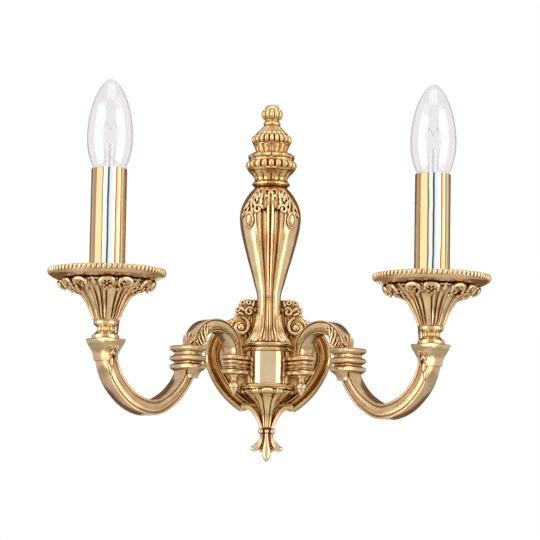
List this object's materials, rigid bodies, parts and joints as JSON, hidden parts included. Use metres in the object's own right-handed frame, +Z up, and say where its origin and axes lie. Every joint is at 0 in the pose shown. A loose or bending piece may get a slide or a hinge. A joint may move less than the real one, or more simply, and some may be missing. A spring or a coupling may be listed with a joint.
{
  "type": "double arm wall sconce",
  "caption": "Cast brass wall sconce with a cartouche backplate, a vase column with a stacked finial, scrolled arms and candle lamps on beaded drip pans.",
  "frame": {"origin": "on the wall, at the centre of the wall bracket's two slots, at the height of the drum's middle", "axes": "+Z up, +Y into the wall, the object stands out towards -Y, +X to the right seen from the room"},
  "size_m": [0.331, 0.178, 0.2803],
  "materials": {
    "antique_brass": "cast, aged, brown in the recesses and bright on the high edges",
    "polished_brass": "polished",
    "steel": "zinc plated",
    "clear_glass": "clear",
    "lamp_cap": "pressed sheet",
    "filament_wire": "drawn wire",
    "holder_plastic": "moulded, dark",
    "terminal_plastic": "moulded, light",
    "wire_insulation": "smooth sheath"
  },
  "bodies": {
    "fixture": {"backplate": "antique_brass", "hub_drum": "polished_brass", "hub_cap": "antique_brass", "hub_corbel": "antique_brass", "baluster": "antique_brass", "crown_finial": "antique_brass", "tie_rod": "steel", "wall_bracket": "steel", "side_screws": "polished_brass", "arm_screws": "steel", "seat_screws": "steel", "terminal_block": "terminal_plastic", "terminal_screws": "steel", "earth_screw": "polished_brass", "threaded_tubes": "steel", "locknuts": "polished_brass", "arm_left": "antique_brass", "arm_right": "antique_brass", "pendant_left": "antique_brass", "pendant_right": "antique_brass", "husk_left": "antique_brass", "husk_right": "antique_brass", "drip_pan_left": "antique_brass", "drip_pan_right": "antique_brass", "lampholder_body_left": "holder_plastic", "lampholder_body_right": "holder_plastic", "lampholder_shell_left": "polished_brass", "lampholder_shell_right": "polished_brass", "centre_contact_left": "polished_brass", "centre_contact_right": "polished_brass", "lead_left": "wire_insulation", "lead_right": "wire_insulation"},
    "sleeve_left": {"candle_sleeve_left": "polished_brass"},
    "sleeve_right": {"candle_sleeve_right": "polished_brass"},
    "lamp_left": {"bulb_glass_left": "clear_glass", "bulb_cap_left": "lamp_cap", "bulb_stem_left": "clear_glass", "filament_left": "filament_wire"},
    "lamp_right": {"bulb_glass_right": "clear_glass", "bulb_cap_right": "lamp_cap", "bulb_stem_right": "clear_glass", "filament_right": "filament_wire"}
  },
  "joints": [
    {"name": "sleeve_lift_left", "type": "slide", "parent": "fixture", "child": "sleeve_left", "axis": [0, 0, 1], "range_m": [0, 0.08]},
    {"name": "sleeve_lift_right", "type": "slide", "parent": "fixture", "child": "sleeve_right", "axis": [0, 0, 1], "range_m": [0, 0.08]},
    {"name": "lamp_out_left", "type": "slide", "parent": "sleeve_left", "child": "lamp_left", "axis": [0, 0, 1], "range_m": [0, 0.035]},
    {"name": "lamp_out_right", "type": "slide", "parent": "sleeve_right", "child": "lamp_right", "axis": [0, 0, 1], "range_m": [0, 0.035]}
  ]
}
